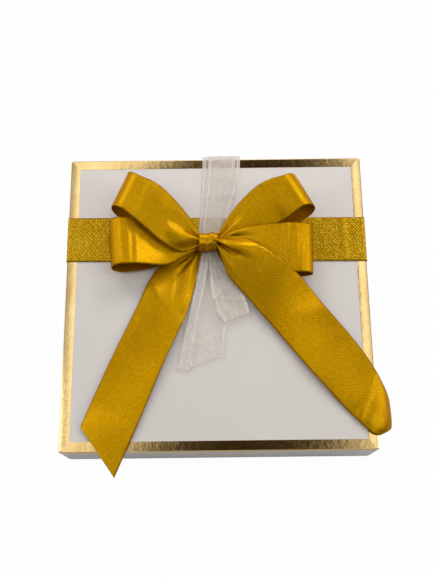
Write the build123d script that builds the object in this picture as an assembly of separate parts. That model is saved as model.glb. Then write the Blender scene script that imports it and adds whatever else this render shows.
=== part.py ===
from build123d import *
import math
import os

os.makedirs("parts", exist_ok=True)

# Box, outside the paper. The origin is the middle of the underside, with the front towards -Y.
lid_side = 160.0
box_height = 34.0
board_thickness = 1.5
paper_thickness = 0.2
lid_clearance = 0.4
lid_seat_gap = 0.1
lid_rim_height = 3.0
turn_in_depth = 12.0
liner_clearance = 0.1

# Gold foil border of the lid
foil_thickness = 0.1
foil_border_width = 5.2
foil_edge_drop = 1.8

# Card lattice that parts the chocolates
cells_per_side = 4
divider_thickness = 0.8
divider_end_clearance = 0.3
slot_clearance = 0.1

# Pleated paper cups
cup_thickness = 0.15
cup_side_gap = 1.35
cup_flare = 4.2
cup_height = 15.0
cup_pleats = 14
cup_pleat_depth = 1.0
cup_floor_gap = 0.1

# Chocolates
chocolate_floor_gap = 0.1
chocolate_side_gap = 1.4
chocolate_height = 14.0
square_bevel = 1.3
ridge_width = 1.7
ridge_height = 1.4
ridge_count = 4

# Quilted pad above the chocolates
pad_side_gap = 0.8
pad_thickness = 4.6
pad_headroom = 1.3
pad_foot_inset = 1.2
pad_top_inset = 2.4
pad_gap = 0.3
pad_channels = 4
channel_width = 2.4
channel_depth = 1.2

# Satin ribbon, its band round the lid and its bow
ribbon_width = 25.0
ribbon_thickness = 0.5
band_thickness = 0.4
band_y = 32.6
knot_x = -4.5
knot_y = 28.4
knot_length = 9.5
knot_depth = 9.0
knot_height = 10.8
knot_lift = 1.2
knot_bulge = 0.6
knot_corner = 3.2
knot_corner_steps = 4

# Organza ribbon
organza_width = 18.5
organza_thickness = 0.25
organza_gap = 0.05
organza_x = 2.3
organza_shift = 2.4
organza_waist = 11.0
organza_waist_run = 22.0

# Sizes and heights that follow from the values above
lid_wall = board_thickness + paper_thickness * 2
base_side = lid_side - (lid_wall + lid_clearance) * 2
base_inner_side = base_side - lid_wall * 2
lid_ceiling = box_height - lid_wall
base_rim = lid_ceiling - lid_seat_gap
floor_top = lid_wall
pad_side = base_inner_side - pad_side_gap * 2
pad_low = lid_ceiling - pad_headroom - pad_thickness
divider_top = pad_low - pad_gap
divider_height = divider_top - floor_top
lid_top = box_height + foil_thickness
cell_pitch = base_inner_side / cells_per_side
cup_rim_radius = (cell_pitch - divider_thickness) / 2 - cup_side_gap
cup_base_radius = cup_rim_radius - cup_flare
chocolate_radius = cup_base_radius - chocolate_side_gap
standing = (Align.CENTER, Align.CENTER, Align.MIN)

# Heights and radii of the moulded chocolates, as shares of their height and radius
gem_shares = ((0.88, 0.0), (1.0, 0.5), (0.82, 0.8), (0.42, 1.0))
dome_shares = ((0.86, 0.0), (1.0, 0.3), (0.9, 0.62), (0.66, 0.86), (0.3, 1.0))
step_shares = ((1.0, 0.0, 0.55), (0.72, 0.55, 0.8), (0.4, 0.8, 1.0))
square_side_share = 1.43
square_side = chocolate_radius * square_side_share
ridge_length_share = 0.84

# Ribbon stations, in shares of the ribbon's width. Each gives the back edge's and the front edge's
# place, as the distance out from the knot's end, the distance back from its middle and the height
# above the lid, and then the crown of the ribbon between its edges.
upper_left_rise_shares = (
    (0.00, 0.18, 0.38, 0.00, -0.10, 0.34, 0.03),
    (0.25, 0.57, 0.48, 0.36, -0.22, 0.34, 0.12),
    (0.63, 0.99, 0.62, 0.75, -0.06, 0.48, 0.07),
    (0.91, 1.20, 0.72, 1.12, 0.24, 0.62, 0.02),
    (1.26, 1.36, 0.76, 1.59, 0.62, 0.72, 0.00),
)
upper_left_return_shares = (
    (1.33, 1.38, 0.28, 1.66, 0.56, 0.28, 0.00),
    (1.05, 1.25, 0.23, 1.25, 0.32, 0.23, 0.00),
    (0.66, 1.00, 0.19, 0.83, 0.08, 0.19, 0.00),
    (0.25, 0.50, 0.17, 0.33, -0.05, 0.17, 0.00),
    (0.00, 0.16, 0.16, 0.00, -0.06, 0.16, 0.00),
)
upper_right_rise_shares = (
    (0.00, 0.18, 0.26, 0.00, -0.08, 0.24, 0.02),
    (0.35, 0.66, 0.44, 0.40, 0.06, 0.28, 0.05),
    (0.75, 1.04, 0.62, 0.95, 0.24, 0.36, 0.03),
    (1.05, 1.20, 0.74, 1.43, 0.42, 0.46, 0.02),
    (1.41, 1.30, 0.78, 1.81, 0.64, 0.70, 0.00),
)
upper_right_return_shares = (
    (1.51, 1.30, 0.30, 1.87, 0.50, 0.30, 0.00),
    (1.20, 1.18, 0.25, 1.56, 0.34, 0.25, 0.00),
    (0.77, 0.96, 0.20, 0.96, 0.20, 0.20, 0.00),
    (0.35, 0.56, 0.17, 0.40, 0.02, 0.17, 0.00),
    (0.00, 0.16, 0.17, 0.00, -0.06, 0.17, 0.00),
)
lower_left_rise_shares = (
    (0.00, 0.04, 0.24, 0.00, -0.12, 0.22, 0.02),
    (0.40, 0.24, 0.26, 0.38, -0.34, 0.24, 0.03),
    (0.83, 0.39, 0.33, 0.71, -0.50, 0.31, 0.02),
    (1.24, 0.48, 0.45, 1.16, -0.52, 0.45, 0.00),
    (1.65, 0.50, 0.52, 1.55, -0.54, 0.52, 0.00),
)
lower_left_return_shares = (
    (1.65, 0.46, 0.10, 1.59, -0.58, 0.10, 0.00),
    (1.27, 0.42, 0.10, 1.20, -0.54, 0.10, 0.00),
    (0.84, 0.36, 0.10, 0.79, -0.44, 0.10, 0.00),
    (0.36, 0.20, 0.10, 0.36, -0.26, 0.10, 0.00),
    (0.00, 0.06, 0.10, 0.00, -0.10, 0.10, 0.00),
)
lower_right_rise_shares = (
    (0.00, 0.04, 0.34, 0.00, -0.16, 0.32, 0.02),
    (0.40, 0.24, 0.40, 0.47, -0.24, 0.32, 0.02),
    (0.87, 0.30, 0.46, 0.95, -0.50, 0.30, 0.01),
    (1.37, 0.34, 0.48, 1.34, -0.68, 0.34, 0.00),
    (1.77, 0.36, 0.46, 1.73, -0.72, 0.42, 0.00),
)
lower_right_return_shares = (
    (1.79, 0.38, 0.10, 1.75, -0.72, 0.10, 0.00),
    (1.36, 0.36, 0.09, 1.33, -0.66, 0.09, 0.00),
    (0.86, 0.32, 0.09, 0.86, -0.48, 0.09, 0.00),
    (0.40, 0.20, 0.09, 0.41, -0.22, 0.09, 0.00),
    (0.00, 0.06, 0.09, 0.00, -0.10, 0.09, 0.00),
)
right_tail_shares = (
    (0.00, 0.08, 0.43, 0.00, -0.14, 0.41, 0.02),
    (0.33, 0.06, 0.50, 0.11, -0.42, 0.38, 0.04),
    (0.76, -0.06, 0.52, 0.23, -0.76, 0.30, 0.04),
    (1.59, -0.70, 0.46, 0.70, -1.29, 0.16, 0.02),
    (2.23, -1.40, 0.22, 1.33, -2.05, 0.09, 0.02),
    (2.67, -1.94, 0.10, 1.83, -2.68, 0.10, 0.03),
    (3.01, -2.43, 0.12, 2.27, -3.20, 0.08, 0.05),
    (3.27, -2.90, 0.10, 2.63, -3.60, 0.05, 0.06),
    (3.44, -3.25, -0.04, 2.89, -3.86, 0.05, 0.12),
    (3.51, -3.54, -0.22, 3.07, -4.02, 0.04, 0.15),
    (3.50, -3.78, -0.36, 3.21, -4.06, 0.00, 0.13),
)
left_tail_shares = (
    (0.00, -0.04, 0.055, 0.00, -0.20, 0.055, 0.00),
    (0.41, -0.24, 0.055, 0.01, -0.40, 0.055, 0.00),
    (0.83, -0.44, 0.06, 0.05, -0.74, 0.07, 0.01),
    (1.08, -0.82, 0.08, 0.16, -1.16, 0.10, 0.04),
    (1.31, -1.35, 0.08, 0.33, -1.66, 0.12, 0.05),
    (1.67, -2.12, 0.08, 0.67, -2.40, 0.14, 0.02),
    (2.05, -3.00, 0.10, 1.01, -3.22, 0.09, 0.04),
    (2.40, -3.84, 0.06, 1.33, -3.98, 0.06, 0.02),
    (2.08, -4.32, 0.03, 1.51, -4.42, 0.03, 0.01),
    (1.77, -4.80, -0.08, 1.69, -4.81, -0.08, 0.00),
)
fold_steps = 10
fold_reach_share = 0.26
crown_steps = 4

# Organza stations, in the same shares. Each gives the left edge's and the right edge's place, as the
# distance right from the knot's middle, the distance forward from its front and the height above
# the lid, and then the crown.
organza_left_tail_shares = (
    (-0.12, 0.00, 0.12, 0.00, 0.00, 0.12, 0.00),
    (-0.17, 0.33, 0.11, -0.05, 0.33, 0.11, 0.01),
    (-0.29, 0.81, 0.09, -0.12, 0.86, 0.09, 0.02),
    (-0.42, 1.34, 0.06, -0.20, 1.38, 0.07, 0.02),
    (-0.56, 1.88, 0.045, -0.27, 1.93, 0.05, 0.02),
    (-0.68, 2.50, 0.045, -0.40, 2.53, 0.035, 0.01),
)
organza_right_tail_shares = (
    (-0.04, 0.00, 0.075, 0.10, 0.00, 0.075, 0.00),
    (-0.09, 0.48, 0.06, 0.18, 0.50, 0.06, 0.01),
    (-0.22, 1.03, 0.04, 0.32, 1.04, 0.05, 0.02),
    (-0.28, 1.46, 0.03, 0.38, 1.51, 0.04, 0.02),
    (-0.37, 2.00, 0.025, 0.33, 2.00, 0.025, 0.02),
    (-0.42, 2.48, 0.02, 0.31, 2.24, 0.02, 0.01),
)
organza_loop_rise_shares = (
    (0.16, 0.00, 0.21, 0.04, 0.00, 0.20, 0.00),
    (0.33, 0.33, 0.21, 0.05, 0.40, 0.18, 0.02),
    (0.62, 0.74, 0.19, 0.08, 0.88, 0.17, 0.02),
    (0.78, 1.07, 0.16, 0.18, 1.28, 0.16, 0.01),
    (0.84, 1.28, 0.13, 0.32, 1.50, 0.13, 0.00),
)
organza_loop_return_shares = (
    (0.84, 1.28, 0.07, 0.32, 1.50, 0.09, 0.00),
    (0.76, 1.07, 0.08, 0.20, 1.28, 0.11, 0.00),
    (0.56, 0.74, 0.10, 0.10, 0.88, 0.12, 0.00),
    (0.30, 0.33, 0.12, 0.06, 0.40, 0.13, 0.00),
    (0.14, 0.00, 0.13, 0.05, 0.00, 0.13, 0.00),
)
organza_fold_share = 0.06


def block(side, low, high):
    """A square block about the box's own axis, between two heights."""
    return Pos(0, 0, low) * Box(side, side, high - low, align=standing)


def square_ring(outer_side, inner_side, low, high):
    return block(outer_side, low, high) - block(inner_side, low, high)


def faceted_loft(outlines, twisted=False):
    """A loft in flat facets through outlines of as many corners each. A twisted stretch takes two
    triangles in place of each four-sided facet."""
    faces = [flat_face(outlines[0]), flat_face(outlines[-1])]
    for low, high in zip(outlines, outlines[1:]):
        for n in range(len(low)):
            if twisted:
                faces.append(flat_face((low[n - 1], low[n], high[n])))
                faces.append(flat_face((low[n - 1], high[n], high[n - 1])))
            else:
                faces.append(flat_face((low[n - 1], low[n], high[n], high[n - 1])))
    return Solid(Shell(faces))


def flat_face(corners):
    return Face(Wire.make_polygon(corners, close=True))


def save(shape, name):
    shape.label = name
    export_step(shape, "parts/" + name + ".step")


def save_base():
    """The base's board, the papers round its sides and under it, and its floor sheet."""
    board_side = base_side - paper_thickness * 2
    board_inner = board_side - board_thickness * 2
    board_high = base_rim - paper_thickness
    floor_low = paper_thickness + board_thickness
    carton = block(board_side, paper_thickness, board_high) - block(board_inner, floor_low, board_high)
    wrap = square_ring(base_side, board_side, paper_thickness, base_rim)
    wrap += square_ring(board_side, base_inner_side, board_high, base_rim)
    wrap += square_ring(board_inner, base_inner_side, board_high - turn_in_depth, board_high)
    save(carton, "base_carton")
    save(wrap, "base_wrap")
    save(block(base_side, 0, paper_thickness), "base_underside")
    save(block(base_inner_side - liner_clearance * 2, floor_low, floor_top), "base_liner")


def save_lid():
    """The lid's board, its paper, the sheet under its top and the foil round its edge."""
    board_side = lid_side - paper_thickness * 2
    board_inner = board_side - board_thickness * 2
    wrap_inner = board_inner - paper_thickness * 2
    board_low = lid_rim_height + paper_thickness
    board_high = box_height - paper_thickness
    ceiling = board_high - board_thickness
    carton = block(board_side, board_low, board_high) - block(board_inner, board_low, ceiling)
    wrap = block(lid_side, lid_rim_height, box_height) - block(board_side, lid_rim_height, board_high)
    wrap += square_ring(board_side, wrap_inner, lid_rim_height, board_low)
    wrap += square_ring(board_inner, wrap_inner, board_low, board_low + turn_in_depth)
    foil_low = box_height - foil_edge_drop
    foil = block(lid_side + foil_thickness * 2, foil_low, lid_top) - block(lid_side, foil_low, box_height)
    foil -= block(lid_side - foil_border_width * 2, box_height, lid_top)
    save(carton, "lid_carton")
    save(wrap, "lid_wrap")
    save(block(board_inner - liner_clearance * 2, lid_ceiling, ceiling), "lid_liner")
    save(foil, "gold_foil_border")


def cell_lines():
    """Where the lattice's cards stand, on either axis."""
    return [(n - cells_per_side / 2) * cell_pitch for n in range(1, cells_per_side)]


def cell_centres():
    """The middles of the cells, row by row from the back left."""
    middle = (cells_per_side - 1) / 2
    places = [(n - middle) * cell_pitch for n in range(cells_per_side)]
    return [(x, -y) for y in places for x in places]


def divider(slots_from_top):
    """One card of the lattice, slotted half its height where it crosses the others."""
    length = base_inner_side - divider_end_clearance * 2
    card = Pos(0, 0, floor_top) * Box(length, divider_thickness, divider_height, align=standing)
    slot_width = divider_thickness + slot_clearance * 2
    slot_height = divider_height / 2 + slot_clearance
    slot_low = divider_top - slot_height if slots_from_top else floor_top
    for x in cell_lines():
        card -= Pos(x, 0, slot_low) * Box(slot_width, divider_thickness, slot_height, align=standing)
    return card


def save_lattice():
    for n, line in enumerate(cell_lines(), 1):
        save(Pos(0, line, 0) * divider(True), f"divider_across_{n}")
        save(Pos(line, 0, 0) * Rot(0, 0, 90) * divider(False), f"divider_along_{n}")


def pleated_outline(radius, height):
    """The zigzag outline of a cup at one height."""
    depth = cup_pleat_depth * radius / cup_rim_radius
    corners = []
    for n in range(cup_pleats * 2):
        reach = radius - depth * (n % 2)
        angle = math.pi * n / cup_pleats
        corners.append(Vector(reach * math.cos(angle), reach * math.sin(angle), height))
    return corners


def paper_cup():
    """A pleated cup: one zigzag frustum inside another."""
    slope = cup_flare / cup_height
    inset = cup_thickness / math.cos(math.atan(slope))
    floor_radius = cup_base_radius + slope * cup_thickness
    outside = [pleated_outline(cup_base_radius, 0), pleated_outline(cup_rim_radius, cup_height)]
    inside = [
        pleated_outline(floor_radius - inset, cup_thickness),
        pleated_outline(cup_rim_radius - inset, cup_height),
    ]
    return faceted_loft(outside) - faceted_loft(inside)


def moulded(sides, shares):
    """A chocolate whose outline is a regular polygon at each of its levels."""
    outlines = []
    for radius_share, height_share in shares:
        radius = chocolate_radius * radius_share
        turns = [math.tau * n / sides for n in range(sides)]
        height = chocolate_height * height_share
        outlines.append([Vector(radius * math.cos(t), radius * math.sin(t), height) for t in turns])
    return faceted_loft(outlines)


def bevelled(side, height):
    solid = Box(side, side, height, align=standing)
    return chamfer(solid.faces().sort_by(Axis.Z)[-1].edges(), square_bevel)


def ridged_chocolate():
    """A square chocolate with ridges across its top."""
    body = bevelled(square_side, chocolate_height - ridge_height)
    pitch = square_side / (ridge_count + 1)
    for n in range(ridge_count):
        ridge = Box(ridge_width, square_side * ridge_length_share, chocolate_height, align=standing)
        body += Pos((n - (ridge_count - 1) / 2) * pitch, 0, 0) * ridge
    return body


def stepped_chocolate():
    """A square chocolate that rises in bevelled steps."""
    steps = [
        Pos(0, 0, chocolate_height * low) * bevelled(square_side * side, chocolate_height * (high - low))
        for side, low, high in step_shares
    ]
    return Part() + steps


def save_contents():
    kinds = {
        "gem": moulded(8, gem_shares),
        "ridged": ridged_chocolate(),
        "dome": moulded(12, dome_shares),
        "stepped": stepped_chocolate(),
    }
    names = list(kinds)
    cup = paper_cup()
    cup_low = floor_top + cup_floor_gap
    chocolate_low = cup_low + cup_thickness + chocolate_floor_gap
    for n, (x, y) in enumerate(cell_centres()):
        name = names[(n + n // cells_per_side) % len(names)]
        save(Pos(x, y, cup_low) * cup, f"paper_cup_{n + 1:02d}")
        save(Pos(x, y, chocolate_low) * kinds[name], f"chocolate_{n + 1:02d}_{name}")


def cushion_pad():
    """A pad whose sides draw in, with channels quilted both ways across its top."""
    levels = ((pad_foot_inset, 0), (0, pad_thickness / 2), (pad_top_inset, pad_thickness))
    outlines = [
        Plane.XY.offset(pad_low + height) * Rectangle(pad_side - inset * 2, pad_side - inset * 2)
        for inset, height in levels
    ]
    pad = Part() + [loft([low, high], ruled=True) for low, high in zip(outlines, outlines[1:])]
    groove = Polygon((-channel_width / 2, 0), (channel_width / 2, 0), (0, -channel_depth), align=None)
    cutter = extrude(Plane.XZ * groove, amount=pad_side / 2, both=True)
    pitch = pad_side / (pad_channels + 1)
    for n in range(pad_channels):
        line = (n - (pad_channels - 1) / 2) * pitch
        pad -= Pos(line, 0, pad_low + pad_thickness) * cutter
        pad -= Pos(0, line, pad_low + pad_thickness) * Rot(0, 0, 90) * cutter
    return pad


def gold_band():
    """The satin band over the lid, down both sides and turned in under the rim."""
    inner_half = lid_side / 2 + foil_thickness
    outer_half = inner_half + band_thickness
    under_rim = lid_rim_height - band_thickness
    turned_in = lid_side / 2 - lid_wall
    band_top = lid_top + band_thickness

    def slab(half, low, high):
        return Pos(0, band_y, low) * Box(half * 2, ribbon_width, high - low, align=standing)

    band = slab(outer_half, under_rim, band_top) - slab(inner_half, lid_rim_height, lid_top)
    return band - slab(turned_in, under_rim, lid_rim_height)


def organza_sash(layer):
    """One layer of organza, from under the knot over the lid's back edge and in under its rim."""
    side_gap = organza_gap + layer * (organza_thickness + organza_gap)
    low = lid_top + band_thickness + side_gap
    high = low + organza_thickness
    inner_y = lid_side / 2 + foil_thickness + side_gap
    outer_y = inner_y + organza_thickness
    rim = lid_rim_height - side_gap
    foot = rim - organza_thickness
    turned_in = lid_side / 2 - lid_wall
    profile = Polygon(
        (knot_y, high), (outer_y, high), (outer_y, foot), (turned_in, foot),
        (turned_in, rim), (inner_y, rim), (inner_y, low), (knot_y, low),
        align=None,
    )
    along = Plane(origin=(0, 0, 0), x_dir=(0, 1, 0), z_dir=(1, 0, 0))
    strip = extrude(along * profile, amount=lid_side, both=True)
    left = organza_x + layer * organza_shift - organza_width / 2
    right = left + organza_width
    full_y = knot_y + organza_waist_run
    outline = Polygon(
        (knot_x - organza_waist / 2, knot_y), (knot_x + organza_waist / 2, knot_y), (right, full_y),
        (right, outer_y), (left, outer_y), (left, full_y),
        align=None,
    )
    return strip & extrude(outline, amount=high)


def knot_outline(along, bulge):
    """The knot's rounded outline on a plane across the bow, with its corners in short straight runs."""
    half_depth = knot_depth / 2
    half_height = (knot_height + bulge) / 2
    middle = lid_top + knot_lift + half_height
    quarter = knot_corner_steps
    corners = []
    for n in range((quarter + 1) * 4):
        side = n // (quarter + 1)
        turn = math.pi / 2 * (side + (n % (quarter + 1)) / quarter)
        across = (half_depth - knot_corner) * (1 if side in (0, 3) else -1)
        up = (half_height - knot_corner) * (1 if side < 2 else -1)
        y = knot_y + across + knot_corner * math.cos(turn)
        z = middle + up + knot_corner * math.sin(turn)
        corners.append(Vector(knot_x + along, y, z))
    return corners


def bow_knot():
    """The wrap that ties the bow: a barrel along X with rounded corners and flat ends."""
    outlines = []
    for share in (-1, -0.5, 0, 0.5, 1):
        outlines.append(knot_outline(knot_length / 2 * share, knot_bulge * (1 - share * share)))
    return faceted_loft(outlines, True)


def beside_knot(side, out, back, height):
    """A point out from the knot's end face, on its left (-1) or its right (1)."""
    x = knot_x + side * (knot_length / 2 + out * ribbon_width)
    return Vector(x, knot_y + back * ribbon_width, lid_top + height * ribbon_width)


def before_knot(right, forward, height):
    """A point in front of the knot's front face."""
    y = knot_y - knot_depth / 2 - forward * ribbon_width
    return Vector(knot_x + right * ribbon_width, y, lid_top + height * ribbon_width)


def side_stations(side, shares):
    return [(beside_knot(side, *s[:3]), beside_knot(side, *s[3:6]), s[6] * ribbon_width) for s in shares]


def front_stations(shares):
    return [(before_knot(*s[:3]), before_knot(*s[3:6]), s[6] * ribbon_width) for s in shares]


def folded(rise, back, reach):
    """A loop's stations: out along its upper run, round the fold and back along its lower run."""
    outward = rise[-1][0] + rise[-1][1] - rise[-2][0] - rise[-2][1]
    fold = Vector(outward.X, outward.Y, 0).normalized() * reach
    turn = []
    for n in range(1, fold_steps):
        angle = math.pi * n / fold_steps
        edges = []
        for edge in (0, 1):
            middle = (rise[-1][edge] + back[0][edge]) / 2
            edges.append(middle + (rise[-1][edge] - middle) * math.cos(angle) + fold * math.sin(angle))
        turn.append((edges[0], edges[1], 0))
    return smoothed(rise) + turn + smoothed(back)


def smoothed(stations):
    """The stations with one more between each two, on a smooth line through its four neighbours."""
    ends = [stations[0]] + stations + [stations[-1]]
    finer = [stations[0]]
    for before, a, b, after in zip(ends, ends[1:], ends[2:], ends[3:]):
        finer.append(tuple((a[k] + b[k]) * 9 / 16 - (before[k] + after[k]) / 16 for k in range(3)))
        finer.append(b)
    return finer


def cross_section(station, travel, up, thickness):
    """The corners of the ribbon's thin section at one station, crowned between its edges."""
    first, second, crown = station
    normal = travel.cross(second - first).normalized() * up
    top = []
    under = []
    for n in range(crown_steps + 1):
        share = n / crown_steps
        line = first + (second - first) * share + normal * (crown * 4 * share * (1 - share))
        top.append(line + normal * (thickness / 2))
        under.append(line - normal * (thickness / 2))
    return top + under[::-1]


def ribbon(stations, start, finish, up, thickness):
    """A ribbon through its stations, square to the given directions at its two ends."""
    sections = []
    last = len(stations) - 1
    for n, station in enumerate(stations):
        before = stations[max(n - 1, 0)]
        after = stations[min(n + 1, last)]
        travel = after[0] + after[1] - before[0] - before[1]
        if n == 0:
            travel = start
        if n == last and finish:
            travel = finish
        sections.append(cross_section(station, travel, up, thickness))
    return faceted_loft(sections, True)


def bow_loop(side, rise_shares, return_shares):
    rise = side_stations(side, rise_shares)
    back = side_stations(side, return_shares)
    out = Vector(side, 0, 0)
    stations = folded(rise, back, ribbon_width * fold_reach_share)
    return ribbon(stations, out, out * -1, -side, ribbon_thickness)


def bow_tail(side, shares):
    stations = smoothed(side_stations(side, shares))
    return ribbon(stations, Vector(side, 0, 0), None, -side, ribbon_thickness)


def organza_tail(shares):
    return ribbon(smoothed(front_stations(shares)), Vector(0, -1, 0), None, 1, organza_thickness)


def organza_loop():
    rise = front_stations(organza_loop_rise_shares)
    back = front_stations(organza_loop_return_shares)
    forward = Vector(0, -1, 0)
    stations = folded(rise, back, ribbon_width * organza_fold_share)
    return ribbon(stations, forward, forward * -1, -1, organza_thickness)


def save_ribbons():
    save(gold_band(), "gold_band")
    save(bow_knot(), "bow_knot")
    save(bow_loop(-1, upper_left_rise_shares, upper_left_return_shares), "bow_loop_upper_left")
    save(bow_loop(1, upper_right_rise_shares, upper_right_return_shares), "bow_loop_upper_right")
    save(bow_loop(-1, lower_left_rise_shares, lower_left_return_shares), "bow_loop_lower_left")
    save(bow_loop(1, lower_right_rise_shares, lower_right_return_shares), "bow_loop_lower_right")
    save(bow_tail(-1, left_tail_shares), "bow_tail_left")
    save(bow_tail(1, right_tail_shares), "bow_tail_right")
    save(organza_sash(0), "organza_sash_under")
    save(organza_sash(1), "organza_sash_over")
    save(organza_tail(organza_left_tail_shares), "organza_tail_left")
    save(organza_tail(organza_right_tail_shares), "organza_tail_right")
    save(organza_loop(), "organza_loop")


save_base()
save_lid()
save_lattice()
save_contents()
save(cushion_pad(), "cushion_pad")
save_ribbons()
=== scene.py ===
import bmesh
import bpy
from math import copysign, cos, exp, pi, radians, sin, tau
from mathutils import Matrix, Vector, noise


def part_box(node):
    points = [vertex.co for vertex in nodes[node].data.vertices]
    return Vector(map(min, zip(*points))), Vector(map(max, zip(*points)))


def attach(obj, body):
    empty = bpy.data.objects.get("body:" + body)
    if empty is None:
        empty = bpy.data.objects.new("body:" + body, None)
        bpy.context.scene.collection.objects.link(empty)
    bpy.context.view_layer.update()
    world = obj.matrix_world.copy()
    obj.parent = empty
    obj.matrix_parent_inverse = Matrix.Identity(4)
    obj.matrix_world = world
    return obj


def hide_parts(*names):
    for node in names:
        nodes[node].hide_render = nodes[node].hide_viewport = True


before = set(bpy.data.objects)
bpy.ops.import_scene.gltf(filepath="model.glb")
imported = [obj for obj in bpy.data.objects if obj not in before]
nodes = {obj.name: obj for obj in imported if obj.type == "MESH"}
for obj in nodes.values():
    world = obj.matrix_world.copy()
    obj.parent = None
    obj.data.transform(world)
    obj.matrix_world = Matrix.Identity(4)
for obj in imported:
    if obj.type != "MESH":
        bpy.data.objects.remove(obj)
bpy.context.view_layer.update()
scene = bpy.context.scene
print("frame loaded with", len(nodes), "pieces")

mm = 0.001
ribbonWidth = 25 * mm
lidTop = 34.1 * mm
knot = {
    "x": -4.5 * mm, "y": 28.4 * mm, "length": 9.5 * mm, "depth": 9 * mm, "height": 10.8 * mm,
    "lift": 1.2 * mm,
}
# where the photograph was taken from
photoView = {"lens": 51.38, "sensor": 36, "place": (0.0007, -0.1252, 0.4499), "turn": (17.377, 0.329, -0.621)}


def shown(name, data):
    obj = bpy.data.objects.new(name, data)
    scene.collection.objects.link(obj)
    return obj


def addCamera():
    data = bpy.data.cameras.new("photoCamera")
    data.sensor_width = photoView["sensor"]
    data.lens = photoView["lens"]
    camera = shown("photoCamera", data)
    camera.location = photoView["place"]
    camera.rotation_euler = [radians(a) for a in photoView["turn"]]
    scene.camera = camera


addCamera()


def sums(operation, swapped=False):
    return lambda field, other=None: field.reckon(operation, other, swapped)


class Field:
    # a node's output, which Python's own operators can reckon with
    def __init__(self, tree, socket):
        self.tree = tree
        self.socket = socket

    def reckon(self, operation, other=None, swapped=False):
        node = self.tree.nodes.new("ShaderNodeMath")
        node.operation = operation
        for socket, value in zip(node.inputs, (other, self) if swapped else (self, other)):
            feed(self.tree, socket, value)
        return Field(self.tree, node.outputs[0])

    __add__, __radd__ = sums("ADD"), sums("ADD", True)
    __sub__, __rsub__ = sums("SUBTRACT"), sums("SUBTRACT", True)
    __mul__, __truediv__ = sums("MULTIPLY"), sums("DIVIDE")
    sine, cosine, size = sums("SINE"), sums("COSINE"), sums("ABSOLUTE")
    above, below = sums("GREATER_THAN"), sums("LESS_THAN")
    atLeast, atMost = sums("MAXIMUM"), sums("MINIMUM")

    def held(self):
        return self.atLeast(0.0).atMost(1.0)

    def stripes(self, pitch):
        return (self * (tau / pitch)).sine()


def feed(tree, socket, value):
    if isinstance(value, Field):
        tree.links.new(value.socket, socket)
    elif value is not None:
        socket.default_value = value


def colour(red, green, blue):
    # a screen colour from 0 to 255, as the linear one that shaders use
    linear = [c / 255 / 12.92 if c < 10 else ((c / 255 + 0.055) / 1.055) ** 2.4 for c in (red, green, blue)]
    return (*linear, 1.0)


class Bench:
    # one tree of nodes, for a material, the world or geometry
    def __init__(self, tree):
        self.tree = tree

    def make(self, kind, settings=None, values=None, out=0):
        node = self.tree.nodes.new(kind)
        for name, setting in (settings or {}).items():
            if name == "stops":
                ramp = node.color_ramp
                while len(ramp.elements) < len(setting):
                    ramp.elements.new(0.5)
                for element, (place, tone) in zip(ramp.elements, setting):
                    element.position = place
                    element.color = tone
            else:
                setattr(node, name, setting)
        for name, value in (values or {}).items():
            feed(self.tree, node.inputs[name], value)
        return Field(self.tree, node.outputs[out])

    def parts(self, vector):
        node = self.tree.nodes.new("ShaderNodeSeparateXYZ")
        feed(self.tree, node.inputs[0], vector)
        return [Field(self.tree, o) for o in node.outputs]

    def vector(self, x=0.0, y=0.0, z=0.0):
        return self.make("ShaderNodeCombineXYZ", None, {"X": x, "Y": y, "Z": z})

    def geometry(self, kind, values, **settings):
        return self.make("GeometryNode" + kind, settings, values)

    def chance(self, low, high, seed):
        values = {0: low, 1: high, "Seed": seed}
        return self.make("FunctionNodeRandomValue", {"data_type": "FLOAT_VECTOR"}, values)

    def blend(self, share, first, second):
        # three numbers are a screen colour, four a linear one
        tones = [colour(*c) if isinstance(c, tuple) and len(c) == 3 else c for c in (first, second)]
        return self.make("ShaderNodeMix", {"data_type": "RGBA"}, {0: share, 6: tones[0], 7: tones[1]}, 2)


class Finish(Bench):
    # a material: constants go on the shader's own sockets
    def __init__(self, name, **constants):
        self.material = bpy.data.materials.new(name)
        self.material.use_nodes = True
        super().__init__(self.material.node_tree)
        self.shader = self.tree.nodes["Principled BSDF"]
        for key, value in constants.items():
            self.shader.inputs[key.replace("_", " ")].default_value = value

    def place(self, kind="Object"):
        return self.make("ShaderNodeTexCoord", out=kind)

    def speckle(self, scale, detail=3.0, where=None, roughness=0.55):
        values = {"Vector": where or self.place(), "Scale": scale, "Detail": detail, "Roughness": roughness}
        return self.make("ShaderNodeTexNoise", None, values)

    def show(self, name, value):
        feed(self.tree, self.shader.inputs[name], value)

    def dressed(self, base, roughness, height, depth, strength=1.0):
        self.show("Base Color", base)
        self.show("Roughness", roughness)
        bump = {"Height": height, "Distance": depth, "Strength": strength}
        self.show("Normal", self.make("ShaderNodeBump", None, bump))
        return self.material


# twill and crossing lean by these shares along and across the ribbon
satinWeave = {
    "twill": (1.12, 1.05), "crossing": (0.85, -0.75), "rib": 0.7 * mm, "yarn": 0.34 * mm,
    "selvedge": 0.7 * mm, "threadLength": 950.0, "threadWidth": 260.0, "slant": 0.8,
    # the edge-on tone is painted shade: cloth seen edge-on turns to this darker orange
    "edgeOnShadeTone": (166, 96, 0), "tint": (1.0, 0.72, 0.15, 1.0),
}


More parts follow.
